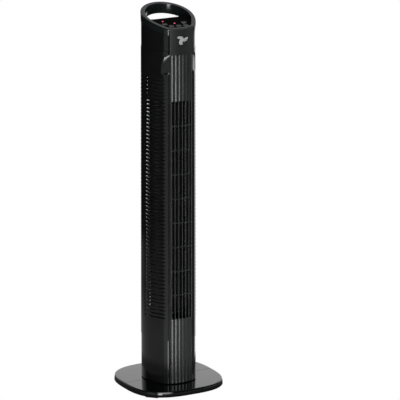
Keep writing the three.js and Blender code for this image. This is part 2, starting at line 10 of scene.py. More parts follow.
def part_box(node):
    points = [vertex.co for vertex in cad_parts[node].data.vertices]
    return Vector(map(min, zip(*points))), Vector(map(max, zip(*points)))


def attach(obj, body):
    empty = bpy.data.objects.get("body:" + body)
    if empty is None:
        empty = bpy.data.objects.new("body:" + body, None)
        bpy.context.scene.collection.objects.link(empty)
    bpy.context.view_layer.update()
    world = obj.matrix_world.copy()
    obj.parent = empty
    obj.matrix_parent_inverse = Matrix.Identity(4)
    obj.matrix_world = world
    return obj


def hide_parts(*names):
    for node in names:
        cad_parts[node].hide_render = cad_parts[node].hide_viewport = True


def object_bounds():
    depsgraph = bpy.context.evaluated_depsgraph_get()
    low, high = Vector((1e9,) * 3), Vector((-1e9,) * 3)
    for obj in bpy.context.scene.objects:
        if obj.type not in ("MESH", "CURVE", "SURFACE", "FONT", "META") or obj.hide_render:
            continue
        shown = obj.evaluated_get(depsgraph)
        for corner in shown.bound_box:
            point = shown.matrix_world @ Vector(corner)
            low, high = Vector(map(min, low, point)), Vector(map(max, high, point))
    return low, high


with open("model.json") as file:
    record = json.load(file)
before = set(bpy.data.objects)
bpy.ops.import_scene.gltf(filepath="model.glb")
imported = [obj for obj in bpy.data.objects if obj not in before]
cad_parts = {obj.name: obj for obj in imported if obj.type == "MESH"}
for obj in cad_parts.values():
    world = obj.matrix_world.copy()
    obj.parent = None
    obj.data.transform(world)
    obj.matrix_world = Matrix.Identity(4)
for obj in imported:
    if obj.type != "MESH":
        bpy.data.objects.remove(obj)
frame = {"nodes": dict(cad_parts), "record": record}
CAD_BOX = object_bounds()

MM = 0.001


def box(node):
    """A CAD node's lowest and highest corner in millimetres."""
    low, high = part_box(node)
    return Vector(low) / MM, Vector(high) / MM


# ---------- dimensions, in millimetres, from the frame ----------
TOP_Z = CAD_BOX[1].z / MM
SHELL_LOW, SHELL_HIGH = box("lower_body_shell")
COVER_LOW, COVER_HIGH = box("right_intake_cover")
GRILLE_LOW, GRILLE_HIGH = box("front_grille")
FASCIA_LOW, FASCIA_HIGH = box("front_fascia")
HEAD_LOW, HEAD_HIGH = box("head_shell")
PANEL_HIGH = box("control_panel")[1]
BASE_LOW, BASE_HIGH = box("base_rear_half")

REAR_RADIUS = SHELL_HIGH.x
REAR_Y = SHELL_HIGH.y
REAR_CENTRE_Y = REAR_Y - REAR_RADIUS
FRONT_Y = FASCIA_LOW.y
FRONT_RADIUS = 100
SIDE_EDGE_X = 33
CORNERS = [(36.5, -68.3), (43, -62), (48, -54)]
SIDE_CURVE = [CORNERS[-1], (57.5, -37.5), (REAR_RADIUS, -21), (REAR_RADIUS, REAR_CENTRE_Y)]
WALL = 2.6
GAP = 0.3

HEAD_INSET = REAR_RADIUS - HEAD_HIGH.x
COVER_PROUD_LOW, COVER_PROUD_HIGH = 0.85, -0.9  # the covers taper towards the head
LOUVRE_BOTTOM, LOUVRE_ROWS = 184.2, 64
LOUVRE_PITCH, LOUVRE_SLOT = 9.59, 3.2
LOUVRE_TOP = LOUVRE_BOTTOM + LOUVRE_ROWS * LOUVRE_PITCH
REAR_SLOTS = (18, 80)  # degrees round from +X
SIDE_SLOT_END = -0.5  # degrees round from +X
COVER_THICK = 4.6
FASCIA_THICK = 2.6
# The dark sheet behind the louvres above the impeller is painted shade: it stands where the column's
# inside is only in shadow.
SHADE_SHEET_INSET, SHADE_SHEET_THICK, SHADE_SHEET_END = 4.2, 1.0, -9  # the end in degrees round from +X
SCOOP_FLOOR, SCOOP_SHOULDER, SCOOP_TIP = 805, 817, 858
SCOOP_BLEND = 30  # how far past the crease the cover's surface is drawn out to meet the scoop
SCOOP_FADE, SCOOP_LIP, SCOOP_DIP = 7, 1.6, 0.35
EDGE_CURL = 2.6  # how far the side shells curl in at their front edges

PANEL_HALF = 29
PANEL_DEPTH = 5
GROOVE_DEPTH = 4.4
FLUTES = 6
FLUTE_SAG = 1.5
OPEN_BOTTOM, ROW_PITCH, ROWS = 186, 61.4, 9
OPEN_TOP = OPEN_BOTTOM + ROW_PITCH * ROWS

RIM_SLOPE = 0.299
RING_HEIGHT, HANDLE_HEIGHT = 16.3, 24.9  # the head ring at its sides and across the back
HANDLE_FRONT_Y = 12
RING_WALL = 11
DECK_RECESS = 5
DECK_THICK = 3
DECK_REAR_Y = PANEL_HIGH.y
GRIP_HALF = 55
GRIP_FLOOR_Z = 905


def rim_z(y):
    return TOP_Z - RIM_SLOPE * (REAR_Y - y)


def front_y(x):
    return FRONT_Y + x * x / (2 * FRONT_RADIUS)


# ---------- mesh helpers ----------
def make(name, verts, faces, material, body, slot=None, stands_for=(), crease=35):
    """A piece from millimetre vertices, smooth except over edges sharper than crease degrees."""
    mesh = bpy.data.meshes.new(name)
    mesh.from_pydata([Vector(v) * MM for v in verts], [], faces)
    bm = bmesh.new()
    bm.from_mesh(mesh)
    bmesh.ops.remove_doubles(bm, verts=bm.verts, dist=1e-6)
    bmesh.ops.recalc_face_normals(bm, faces=bm.faces)
    smooth(bm, crease)
    bm.to_mesh(mesh)
    bm.free()
    piece = bpy.data.objects.new(name, mesh)
    bpy.context.scene.collection.objects.link(piece)
    mesh.materials.append(material)
    if body:
        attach(piece, body)
    if stands_for:
        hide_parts(*stands_for)
    return piece


def smooth(bm, crease):
    for face in bm.faces:
        face.smooth = True
    for edge in bm.edges:
        edge.smooth = len(edge.link_faces) == 2 and edge.calc_face_angle(0) < math.radians(crease)


def soften(piece, width=0.5, segments=2, angle=30):
    """Rounded edges, then normals that keep the flat faces flat."""
    bevel = piece.modifiers.new("rounded edges", "BEVEL")
    bevel.width = width * MM
    bevel.segments = segments
    bevel.limit_method = "ANGLE"
    bevel.angle_limit = math.radians(angle)
    normals = piece.modifiers.new("face normals", "WEIGHTED_NORMAL")
    normals.keep_sharp = True
    return piece


def apply_modifiers(piece):
    depsgraph = bpy.context.evaluated_depsgraph_get()
    mesh = bpy.data.meshes.new_from_object(piece.evaluated_get(depsgraph))
    piece.modifiers.clear()
    piece.data = mesh


def drill(piece, cutters):
    """Cuts the cutter pieces out of a piece and deletes them."""
    for cutter in cutters:
        cut = piece.modifiers.new("cut", "BOOLEAN")
        cut.operation = "DIFFERENCE"
        cut.solver = "EXACT"
        cut.object = cutter
        apply_modifiers(piece)
        bpy.data.objects.remove(cutter)
    return piece


def loft(rings, closed_path=False, closed_ring=True):
    """Quads between successive rings of equal length, with end caps unless the path is closed."""
    count = len(rings[0])
    verts = [p for ring in rings for p in ring]
    faces = []
    steps = len(rings) if closed_path else len(rings) - 1
    for i in range(steps):
        a, b = i * count, ((i + 1) % len(rings)) * count
        for k in range(count if closed_ring else count - 1):
            n = (k + 1) % count
            faces.append((a + k, a + n, b + n, b + k))
    if not closed_path and closed_ring:
        last = (len(rings) - 1) * count
        faces.append(tuple(reversed(range(count))))
        faces.append(tuple(range(last, last + count)))
    return verts, faces


def prism(points, z0, z1):
    """Upright solid over a plan outline; z0 and z1 are numbers or functions of (x, y)."""
    low = [(x, y, z0(x, y) if callable(z0) else z0) for x, y in points]
    high = [(x, y, z1(x, y) if callable(z1) else z1) for x, y in points]
    return loft([low, high])


def merged(*shapes):
    verts, faces = [], []
    for v, f in shapes:
        start = len(verts)
        verts += v
        faces += [tuple(i + start for i in face) for face in f]
    return verts, faces


def block(x0, x1, y0, y1, z0, z1):
    return prism([(x0, y0), (x1, y0), (x1, y1), (x0, y1)], z0, z1)


def moved(shape, matrix):
    verts, faces = shape
    return [tuple(matrix @ Vector(v)) for v in verts], faces


def mirrored(shape):
    verts, faces = shape
    return [(-x, y, z) for x, y, z in verts], [tuple(reversed(f)) for f in faces]


def spaced(a, b, count):
    return [a + (b - a) * i / (count - 1) for i in range(count)]


def turned(profile, sides=48):
    """Solid of revolution about Z from (radius, z) points that start and end on the axis or close."""
    rings = []
    for i in range(sides):
        a = 2 * math.pi * i / sides
        rings.append([(r * math.cos(a), r * math.sin(a), z) for r, z in profile])
    return loft(rings, closed_path=True)


# ---------- the column's plan ----------
def bezier(points, t):
    a, b, c, d = [Vector(p) for p in points]
    u = 1 - t
    return a * u**3 + b * 3 * u * u * t + c * 3 * u * t * t + d * t**3


class Outline:
    """Half of the column's plan, from the front centre round to the rear centre, by arc length."""

    def __init__(self):
        points = [Vector((x, front_y(x))) for x in range(0, SIDE_EDGE_X + 1, 3)]
        points += [Vector(p) for p in CORNERS[:-1]]
        points += [bezier(SIDE_CURVE, t / 12) for t in range(12)]
        for i in range(25):
            a = math.pi / 2 * i / 24
            points.append(Vector((REAR_RADIUS * math.cos(a), REAR_CENTRE_Y + REAR_RADIUS * math.sin(a))))
        for _ in range(3):  # corner cutting rounds the chamfer
            cut = [points[0]]
            for p, q in zip(points, points[1:]):
                cut += [p * 0.75 + q * 0.25, p * 0.25 + q * 0.75]
            points = cut + [points[-1]]
        self.points = points
        self.lengths = [0]
        for p, q in zip(points, points[1:]):
            self.lengths.append(self.lengths[-1] + (q - p).length)
        self.total = self.lengths[-1]

    def at(self, s):
        """Point and outward normal at arc length s; s below 0 is the mirrored half."""
        side = -1 if s < 0 else 1
        s = min(abs(s), self.total - 1e-6)
        low, high = 0, len(self.lengths) - 1
        while high - low > 1:
            middle = (low + high) // 2
            if self.lengths[middle] <= s:
                low = middle
            else:
                high = middle
        t = (s - self.lengths[low]) / (self.lengths[high] - self.lengths[low])
        p = self.points[low].lerp(self.points[high], t)
        along = (self.point(high + 2) - self.point(low - 2)).normalized()
        normal = Vector((along.y, -along.x))
        return Vector((side * p.x, p.y)), Vector((side * normal.x, normal.y))

    def point(self, i):
        """Outline point, carried on past either end by its mirror image."""
        last = len(self.points) - 1
        if 0 <= i <= last:
            return self.points[i]
        p = self.points[-i if i < 0 else 2 * last - i]
        return Vector((-p.x, p.y))

    def offset(self, s, out):
        p, n = self.at(s)
        return p + n * out

    def near(self, x, y):
        return min(zip(self.lengths, self.points), key=lambda e: (e[1] - Vector((x, y))).length)[0]


PLAN = Outline()
S_EDGE = PLAN.near(SIDE_EDGE_X, front_y(SIDE_EDGE_X))
S_CORNER = PLAN.near(*CORNERS[0])
S_STRIP = PLAN.near(*CORNERS[1])
S_CREASE = PLAN.near(*CORNERS[2])
S_REAR = PLAN.total


def plan_samples(start, end, step=3.0):
    return spaced(start, end, max(2, round(abs(end - start) / step) + 1))


def round_the_back(step):
    """Arc lengths from the right front edge round the back to the left front edge."""
    half = spaced(S_EDGE, S_CORNER, 5) + plan_samples(S_CORNER, S_REAR, step)[1:]
    return half + [-s for s in reversed(half[:-1])]


def curl(s):
    """Inward curl of a side shell close to its front edge."""
    t = min(max((abs(s) - S_EDGE) / (S_CORNER - S_EDGE), 0), 1)
    return EDGE_CURL * (1 - t) ** 1.2


def wall(stations, thickness, z0, z1, proud=0.0):
    """Shell along the plan: stations are arc lengths, z0 and z1 functions of (x, y)."""
    rings = []
    for s in stations:
        level = proud - curl(s)
        outer, inner = PLAN.offset(s, level), PLAN.offset(s, level - thickness)
        rings.append([
            (outer.x, outer.y, z0(*outer)), (outer.x, outer.y, z1(*outer)),
            (inner.x, inner.y, z1(*outer)), (inner.x, inner.y, z0(*outer)),
        ])
    return loft(rings)


# ---------- materials ----------
def plastic(name, colour, roughness, spread=0.06, grain=0.0, grain_size=2600, coat=0.0, tint=0.15):
    """Moulded plastic: faint colour and gloss variation, optional fine texture, optional clear coat."""
    material = bpy.data.materials.new(name)
    material.use_nodes = True
    nodes, links = material.node_tree.nodes, material.node_tree.links
    shader = nodes["Principled BSDF"]
    shader.inputs["IOR"].default_value = 1.49
    shader.inputs["Coat Weight"].default_value = coat
    shader.inputs["Coat Roughness"].default_value = 0.03
    place = nodes.new("ShaderNodeTexCoord")

    clouds = nodes.new("ShaderNodeTexNoise")
    clouds.inputs["Scale"].default_value = 14
    clouds.inputs["Detail"].default_value = 5
    links.new(place.outputs["Object"], clouds.inputs["Vector"])
    ramp = nodes.new("ShaderNodeValToRGB")
    ramp.color_ramp.elements[0].position = 0.3
    ramp.color_ramp.elements[1].position = 0.7
    for element, shade in zip(ramp.color_ramp.elements, (1 - tint, 1 + tint)):
        element.color = (*[min(c * shade, 1) for c in colour], 1)
    links.new(clouds.outputs["Fac"], ramp.inputs["Fac"])
    links.new(ramp.outputs["Color"], shader.inputs["Base Color"])

    smudges = nodes.new("ShaderNodeTexNoise")
    smudges.inputs["Scale"].default_value = 45
    smudges.inputs["Detail"].default_value = 6
    smudges.inputs["Roughness"].default_value = 0.62
    links.new(place.outputs["Object"], smudges.inputs["Vector"])
    gloss = nodes.new("ShaderNodeMapRange")
    gloss.inputs["From Min"].default_value = 0.3
    gloss.inputs["From Max"].default_value = 0.7
    gloss.inputs["To Min"].default_value = max(roughness - spread, 0.02)
    gloss.inputs["To Max"].default_value = roughness + spread
    links.new(smudges.outputs["Fac"], gloss.inputs["Value"])
    links.new(gloss.outputs["Result"], shader.inputs["Roughness"])

    texture = nodes.new("ShaderNodeTexNoise")
    texture.inputs["Scale"].default_value = grain_size if grain else 90
    texture.inputs["Detail"].default_value = 3
    links.new(place.outputs["Object"], texture.inputs["Vector"])
    bump = nodes.new("ShaderNodeBump")
    bump.inputs["Strength"].default_value = 0.35 if grain else 0.06
    bump.inputs["Distance"].default_value = grain * MM if grain else 0.02 * MM
    links.new(texture.outputs["Fac"], bump.inputs["Height"])
    links.new(bump.outputs["Normal"], shader.inputs["Normal"])
    return material


GLOSS_BLACK = plastic("gloss_black_plastic", (0.004, 0.0045, 0.0045), 0.07, spread=0.03)
SHELL_BLACK = plastic("satin_black_plastic", (0.0045, 0.005, 0.0045), 0.15, spread=0.04)
RING_BLACK = plastic("ring_black_plastic", (0.006, 0.008, 0.008), 0.16, spread=0.03)
GREY_SATIN = plastic("satin_grey_plastic", (0.012, 0.0135, 0.013), 0.3, spread=0.04)
DARK_PLASTIC = plastic("dark_inner_plastic", (0.006, 0.006, 0.006), 0.5, grain=0.05)
BUTTON_GREY = plastic("button_grey_plastic", (0.03, 0.032, 0.032), 0.45)
RUBBER = plastic("black_rubber", (0.01, 0.01, 0.01), 0.75, grain=0.08)
NYLON = plastic("natural_nylon", (0.6, 0.56, 0.46), 0.45, grain=0.03)
BOARD = plastic("circuit_board_lacquer", (0.015, 0.12, 0.04), 0.35)
MARK = plastic("silver_print", (0.28, 0.285, 0.285), 0.35)
DECK_BLACK = plastic("matt_deck_plastic", (0.002, 0.0022, 0.002), 0.75, spread=0.03)
DECK_BLACK.node_tree.nodes["Principled BSDF"].inputs["IOR"].default_value = 1.08


def plated_steel():
    material = plastic("plated_steel", (0.55, 0.56, 0.58), 0.3, spread=0.1)
    material.node_tree.nodes["Principled BSDF"].inputs["Metallic"].default_value = 1
    return material


def lamp_red():
    material = plastic("red_lamp_lens", (0.75, 0.06, 0.13), 0.15)
    shader = material.node_tree.nodes["Principled BSDF"]
    shader.inputs["Emission Color"].default_value = (1.0, 0.13, 0.22, 1)
    shader.inputs["Emission Strength"].default_value = 0.55
    return material


STEEL = plated_steel()
LAMP = lamp_red()
SLOT_MATERIALS = {
    "gloss_black": GLOSS_BLACK, "satin_black": SHELL_BLACK, "satin_grey": GREY_SATIN,
    "dark_plastic": DARK_PLASTIC, "beige_nylon": NYLON, "rubber": RUBBER, "steel": STEEL,
    "lamp_red": LAMP, "board_green": BOARD, "mark_grey": MARK,
}
for subpart in frame["record"]["subparts"]:
    node = frame["nodes"][subpart["node"]]
    for material_slot in node.material_slots:
        material_slot.material = SLOT_MATERIALS[subpart["material_slot"]]


# ---------- base ----------
BASE_POWER = 2.84


def square_radius(half, angle):
    c, s = abs(math.cos(angle)), abs(math.sin(angle))
    return half / (c**BASE_POWER + s**BASE_POWER) ** (1 / BASE_POWER)


def base_profile():
    """Loop of (inset from the rim or None, radius or None, z) round the base's section."""
    top = BASE_HIGH.z
    low = BASE_LOW.z
    loop = [(0.3, None, low), (0.0, None, low + 0.6), (0.35, None, low + 5), (0.9, None, low + 9.5)]
    for i in range(6):
        a = math.pi / 2 * i / 5
        loop.append((1.4 + 2.6 * (1 - math.cos(a)), None, top - 3.2 + 2.6 * math.sin(a)))
    loop += [(14, None, top - 0.45), (40, None, top - 0.2), (None, 60, top - 0.05), (None, 40, top)]
    loop += [(None, 29.4, top), (None, 29.4, top - 4), (None, 60, top - 4), (16, None, top - 4)]
    loop += [(14.5, None, low + 0.5), (14, None, low)]
    return loop


def base_half(name, sign):
    half = BASE_HIGH.x
    rings = []
    angles = [0] + [math.pi * (i + 0.35) / 64 for i in range(64)] + [math.pi]
    for a in angles:
        ring = []
        for inset, radius, z in base_profile():
            r = square_radius(half, a) - inset if radius is None else radius
            x, y = r * math.cos(a), r * math.sin(a)
            ring.append((x, sign * max(y, 0.15), z))
        rings.append(ring)
    verts, faces = loft(rings)
    piece = make(name + "_shell", verts, faces, GLOSS_BLACK, "base", "gloss_black", [name], crease=40)
    return soften(piece, 0.35, 2, 50)


base_half("base_front_half", -1)
base_half("base_rear_half", 1)


def rubber_pads():
    for i in range(1, 7):
        node = f"rubber_foot_{i}"
        low, high = box(node)
        middle = (low + high) / 2
        long_side = abs(middle.y) < 40
        length, width = (22, 8) if long_side else (34, 8)
        turn = math.radians(90) if long_side else math.copysign(math.radians(45), -middle.x * middle.y)
        reach = (length - width) / 2
        points = []
        for end in (0, 1):
            for k in range(9):
                a = math.pi * (k / 8 - 0.5 + end)
                shift = reach if end == 0 else -reach
                points.append((shift + width / 2 * math.cos(a), width / 2 * math.sin(a)))
        place = Matrix.Translation((middle.x, middle.y, 0)) @ Matrix.Rotation(turn, 4, "Z")
        shape = moved(prism(points, low.z, high.z), place)
        pad = make(node + "_pad", *shape, RUBBER, "base", "rubber", [node])
        soften(pad, 0.6, 2, 40)


rubber_pads()


# ---------- column shells ----------
def lower_shell():
    skin = wall(round_the_back(2.5), WALL, lambda x, y: SHELL_LOW.z, lambda x, y: SHELL_HIGH.z)
    piece = make("lower_body_skin", *skin, SHELL_BLACK, "column", "satin_black",
                 ["lower_body_shell"])
    hole = turned([(0, 50), (5.3, 50), (5.3, 90), (0, 90)], 32)
    gland = box("cord_gland")
    centre_z = (gland[0].z + gland[1].z) / 2
    place = Matrix.Translation((0, 0, centre_z)) @ Matrix.Rotation(-math.pi / 2, 4, "X")
    cutter = make("gland_hole", *moved(hole, place), SHELL_BLACK, None)
    drill(piece, [cutter])
    soften(piece, 0.5, 2, 40)


lower_shell()


def scoop_reach(z):
    """How far the corner scoop spreads round the corner at a height."""
    if z <= SCOOP_SHOULDER:
        return S_CREASE - S_EDGE
    t = min((z - SCOOP_SHOULDER) / (SCOOP_TIP - SCOOP_SHOULDER), 1)
    return max((S_CREASE - S_EDGE) * math.sqrt(1 - t * t), 1.2)


def cover_point(s, z):
    """Outer surface of an intake cover, with the flared scoop cut into its top corner."""
    blend_end = S_CREASE + SCOOP_BLEND
    reach = scoop_reach(z)
    if s <= S_CREASE:
        along = (s - S_EDGE) / (S_CREASE - S_EDGE)
        here = S_EDGE + along * reach
    elif s < blend_end:
        along = None
        here = S_EDGE + reach + (s - S_CREASE) * (blend_end - S_EDGE - reach) / (blend_end - S_CREASE)
    else:
        along = None
        here = s
    rise = (z - COVER_LOW.z) / (COVER_HIGH.z - COVER_LOW.z)
    proud = COVER_PROUD_LOW + (COVER_PROUD_HIGH - COVER_PROUD_LOW) * rise
    p = PLAN.offset(here, proud - curl(here))
    if along is None or not SCOOP_FLOOR < z <= SCOOP_TIP:
        return p
    depth = min((z - SCOOP_FLOOR) / SCOOP_FADE, 1)
    start = PLAN.offset(S_EDGE, proud - SCOOP_LIP)
    end = PLAN.offset(S_EDGE + reach, proud)
    chord = start.lerp(end, along)
    dip = (end - start).orthogonal().normalized()
    if dip.dot(p) > 0:
        dip = -dip
    hollow = chord + dip * SCOOP_DIP * math.sin(math.pi * along) * min(reach / 12, 1)
    return p.lerp(hollow, depth * depth * (3 - 2 * depth))


def bearing_station(degrees):
    """Arc length where the outline lies in a direction seen from the plan centre."""
    a = math.radians(degrees)
    return PLAN.near(REAR_RADIUS * math.cos(a), REAR_RADIUS * math.sin(a))


def intake_cover(node, side):
    slot_from, slot_to = S_STRIP, bearing_station(SIDE_SLOT_END)
    rear_from, rear_to = (bearing_station(angle) for angle in REAR_SLOTS)
    columns = spaced(S_EDGE, S_CORNER, 4) + spaced(S_CORNER, slot_from, 5)[1:]
    columns += spaced(slot_from, slot_to, 18)[1:]
    columns += spaced(slot_to, rear_from, 10)[1:] + spaced(rear_from, rear_to, 14)[1:]
    columns += spaced(rear_to, S_REAR - 0.2, 4)[1:]
    columns = sorted(set(columns + [S_CREASE]))
    rows = [COVER_LOW.z, 150, 170]
    slots = []
    for k in range(LOUVRE_ROWS):
        z = LOUVRE_BOTTOM + k * LOUVRE_PITCH + (LOUVRE_PITCH - LOUVRE_SLOT) / 2
        slots.append((z, z + LOUVRE_SLOT))
        rows += [z, z + LOUVRE_SLOT]
    rows += [SCOOP_FLOOR + rise for rise in (0, 1.8, 3.6, 5.4, 7.2)]
    rise = SCOOP_TIP - SCOOP_SHOULDER
    rows += [SCOOP_SHOULDER + rise * math.sin(math.pi / 2 * i / 12) for i in range(13)]
    rows += [SCOOP_TIP + 0.6, COVER_HIGH.z]
    verts = []
    for z in rows:
        for s in columns:
            p = cover_point(s, z)
            verts.append((p.x, p.y, z))
    width = len(columns)
    faces = []
    for j in range(len(rows) - 1):
        open_row = any(abs(rows[j] - low) < 1e-6 for low, _ in slots)
        for i in range(width - 1):
            middle = (columns[i] + columns[i + 1]) / 2
            if open_row and (slot_from < middle < slot_to or rear_from < middle < rear_to):
                continue
            a = j * width + i
            faces.append((a, a + 1, a + 1 + width, a + width))
    shape = (verts, faces)
    if side < 0:
        shape = mirrored(shape)
    piece = make(node + "_louvres", *shape, SHELL_BLACK, "column", "satin_black", [node], crease=28)
    thick = piece.modifiers.new("wall", "SOLIDIFY")
    thick.thickness = COVER_THICK * MM
    thick.offset = -1
    soften(piece, 0.7, 2, 40)
    return piece


def cover_painted_shade_sheet(node, side):
    """Dark sheet behind the louvres above the impeller's top bearing: painted shade standing in for the
    shadow inside the column there.
    """
    low, high = box("top_bearing_plate")[1].z + GAP, LOUVRE_TOP + 4
    stations = plan_samples(S_STRIP - 3, bearing_station(SHADE_SHEET_END), 3)
    rings = []
    for s in stations:
        outer, inner = (PLAN.offset(s, -d) for d in (SHADE_SHEET_INSET, SHADE_SHEET_INSET + SHADE_SHEET_THICK))
        rings.append([(outer.x, outer.y, low), (outer.x, outer.y, high),
                      (inner.x, inner.y, high), (inner.x, inner.y, low)])
    shape = loft(rings)
    if side < 0:
        shape = mirrored(shape)
    make(node + "_painted_shade_sheet", *shape, DARK_PLASTIC, "column", "satin_black")


for cover_node, cover_side in (("right_intake_cover", 1), ("left_intake_cover", -1)):
    intake_cover(cover_node, cover_side)
    cover_painted_shade_sheet(cover_node, cover_side)


# ---------- front ----------
def fluted_strip():
    """Plan loop of the closed front panel: convex flutes in front, plain back."""
    pitch = 2 * PANEL_HALF / FLUTES
    samples = 10
    front = []
    for i in range(FLUTES * samples + 1):
        x = -PANEL_HALF + i * pitch / samples
        crest = FLUTE_SAG * math.sin(math.pi * (i % samples) / samples)
        front.append((x, front_y(x) + 1.7 - crest))
    back = [(x, front_y(x) + PANEL_DEPTH) for x in spaced(PANEL_HALF, -PANEL_HALF, 9)]
    return front + back


def arc_strip(half, near, far, steps=24):
    xs = spaced(-half, half, steps + 1)
    return [(x, front_y(x) + near) for x in xs] + [(x, front_y(x) + far) for x in reversed(xs)]


def front_grille():
    shapes = [
        prism(fluted_strip(), GRILLE_LOW.z, OPEN_BOTTOM),
        prism(fluted_strip(), OPEN_TOP, GRILLE_HIGH.z),
    ]
    pitch = 2 * PANEL_HALF / FLUTES
    for i in range(FLUTES + 1):
        x = -PANEL_HALF + i * pitch
        if i in (0, FLUTES):
            x -= math.copysign(1.3, x)
        y = front_y(x)
        slat = [(x - 0.95, y + 1.3), (x - 0.55, y + 0.55), (x + 0.55, y + 0.55), (x + 0.95, y + 1.3),
                (x + 0.8, y + 4.6), (x - 0.8, y + 4.6)]
        shapes.append(prism(slat, OPEN_BOTTOM - 0.5, OPEN_TOP + 0.5))
    for row in range(1, ROWS):
        z = OPEN_BOTTOM + row * ROW_PITCH
        shapes.append(prism(arc_strip(PANEL_HALF - 0.4, 0.95, 3.6), z - 1.3, z + 1.3))
    for side in (-1, 1):
        x0, x1 = sorted((side * (PANEL_HALF - 0.6), side * (SIDE_EDGE_X - GAP)))
        y = front_y(PANEL_HALF) + GROOVE_DEPTH
        shapes.append(block(x0, x1, y, y + 1.5, GRILLE_LOW.z + 0.1, GRILLE_HIGH.z - 0.1))
    piece = make("front_grille_moulding", *merged(*shapes), GREY_SATIN, "column", "satin_grey",
                 ["front_grille"], crease=32)
    return soften(piece, 0.35, 2, 42)


front_grille()


def fascia():
    half = FASCIA_HIGH.x
    shape = prism(arc_strip(half, 0, FASCIA_THICK), FASCIA_LOW.z, lambda x, y: rim_z(y) - GAP)
    piece = make("front_fascia_plate", *shape, GREY_SATIN, "column", "satin_grey", ["front_fascia"])
    soften(piece, 0.6, 3, 50)


MARK_STRETCH = 1.28


def fan_mark(scale, steps):
    """Three swept blades round a hub."""
    points = []
    for i in range(steps):
        a = 2 * math.pi * i / steps
        r = (8.4 + 4.4 * math.cos(3 * a)) * scale
        swept = a + math.pi / 2 + r * 0.07
        points.append(Vector((MARK_STRETCH * r * math.cos(swept), r * math.sin(swept))))
    return points


def emblem():
    low, high = box("emblem")
    centre = (low + high) / 2
    steps = 90
    outline = fan_mark(1.0, steps)
    middle = Vector((sum(f(p[k] for p in outline) for f in (min, max)) / 2 for k in (0, 1)))
    rings = []
    for scale, depth in ((1.0, 0.0), (1.0, 0.45), (0.955, 0.62)):
        ring = []
        for p in fan_mark(scale, steps):
            x, z = p - middle
            ring.append((x, front_y(x) - GAP + 0.1 - depth, centre.z + z))
        rings.append(ring)
    make("fan_mark", *loft(rings), MARK, "column", "mark_grey", ["emblem"], crease=50)


fascia()
emblem()


# ---------- head ----------
def notch(x, y):
    """How open the finger gap is at a plan point: 0 on the sides, 1 across the back."""
    if y < 0:
        return 0.0
    t = min(max((GRIP_HALF - abs(x)) / 3.0, 0), 1)
    return t * t * (3 - 2 * t)


def ring_bottom(y):
    """Lower edge of the head ring, which steps down to the handle behind."""
    t = min(max((y - HANDLE_FRONT_Y + 4) / 8, 0), 1)
    return rim_z(y) - RING_HEIGHT - (HANDLE_HEIGHT - RING_HEIGHT) * t * t * (3 - 2 * t)


def head_shell():
    def top(x, y):
        edge = ring_bottom(y) - GAP
        return edge + (GRIP_FLOOR_Z - edge) * notch(x, y)

    skin = wall(round_the_back(1.2), WALL, lambda x, y: HEAD_LOW.z, top, -HEAD_INSET)
    piece = make("head_skin", *skin, SHELL_BLACK, "column", "satin_black", ["head_shell"])
    soften(piece, 0.5, 2, 40)


def ring_section():
    """Half profile of the head ring as (inset, height below the rim or above the lower edge)."""
    section = [(1.7, "low", 0), (1.1, "low", 0.7), (0.9, "low", 3)]
    section += [(0.5, "rim", -8), (0.1, "rim", -5)]
    round_edge = 2.6
    for a in spaced(0, math.pi / 2, 7):
        section.append((round_edge * (1 - math.cos(a)), "rim", -round_edge * (1 - math.sin(a))))
    for a in spaced(0.2, math.pi / 2, 4):
        section.append((RING_WALL - 1.2 * (1 - math.sin(a)), "rim", -1.2 * (1 - math.cos(a))))
    return section + [(RING_WALL, "low", 0.9), (RING_WALL - 0.9, "low", 0)]


def head_ring():
    seat = FASCIA_THICK + GAP
    half = [0, 8, 16, 24, S_EDGE - 0.6, S_EDGE - 0.3] + plan_samples(S_EDGE + 0.2, S_REAR, 2.0)
    section = ring_section()
    inner = trimmed_plan(RING_WALL)
    rings = []
    for s in half + [-s for s in reversed(half[1:-1])]:
        step = seat if abs(s) < S_EDGE - 0.1 else 0
        outer = PLAN.offset(s, 0)
        inside = inner(s)
        ring = []
        for depth, base, rise in section:
            across = (depth + step * (1 - depth / RING_WALL)) / RING_WALL
            p = outer.lerp(inside, across)
            level = rim_z(p.y) if base == "rim" else ring_bottom(p.y)
            ring.append((p.x, p.y, level + rise))
        rings.append(ring)
    piece = make("handle_ring_band", *loft(rings, closed_path=True), RING_BLACK, "column",
                 "gloss_black", ["handle_ring"], crease=40)
    soften(piece, 0.3, 2, 50)


def trimmed_plan(inset):
    """Inner outline as a function of arc length, with its corners kept from crossing over."""
    def clear(p):
        return min((p - q).length for q in coarse) > inset - 0.05

    coarse = [PLAN.at(s)[0] for s in plan_samples(-S_REAR, S_REAR, 1.0)]
    stations = plan_samples(0, S_REAR, 1.0)
    kept = [(s, PLAN.offset(s, -inset)) for s in stations if clear(PLAN.offset(s, -inset))]

    def at(s):
        side = -1 if s < 0 else 1
        s = abs(s)
        before = max((k for k in kept if k[0] <= s), key=lambda k: k[0], default=kept[0])
        after = min((k for k in kept if k[0] >= s), key=lambda k: k[0], default=kept[-1])
        t = (s - before[0]) / (after[0] - before[0]) if after[0] > before[0] else 0
        p = before[1].lerp(after[1], t)
        return Vector((side * p.x, p.y))

    return at


def inner_outline(inset, step=3.0):
    inner = trimmed_plan(inset)
    points = [inner(s) for s in plan_samples(0, S_REAR, step)]
    return points + [Vector((-p.x, p.y)) for p in reversed(points[1:-1])]


def clipped(points, keep_below_y):
    """The part of a plan loop in front of a depth."""
    result = []
    for p, q in zip(points, points[1:] + points[:1]):
        if p.y <= keep_below_y:
            result.append((p.x, p.y))
        if (p.y - keep_below_y) * (q.y - keep_below_y) < 0:
            t = (keep_below_y - p.y) / (q.y - p.y)
            result.append((p.x + (q.x - p.x) * t, keep_below_y))
    return result


SLANT = math.atan(RIM_SLOPE)


def on_deck(x, y, depth=DECK_RECESS):
    """Frame standing on the panel's face at a plan position, z out of the panel."""
    place = Matrix.Translation((x, y, rim_z(y) - depth))
    return place @ Matrix.Rotation(SLANT, 4, "X")


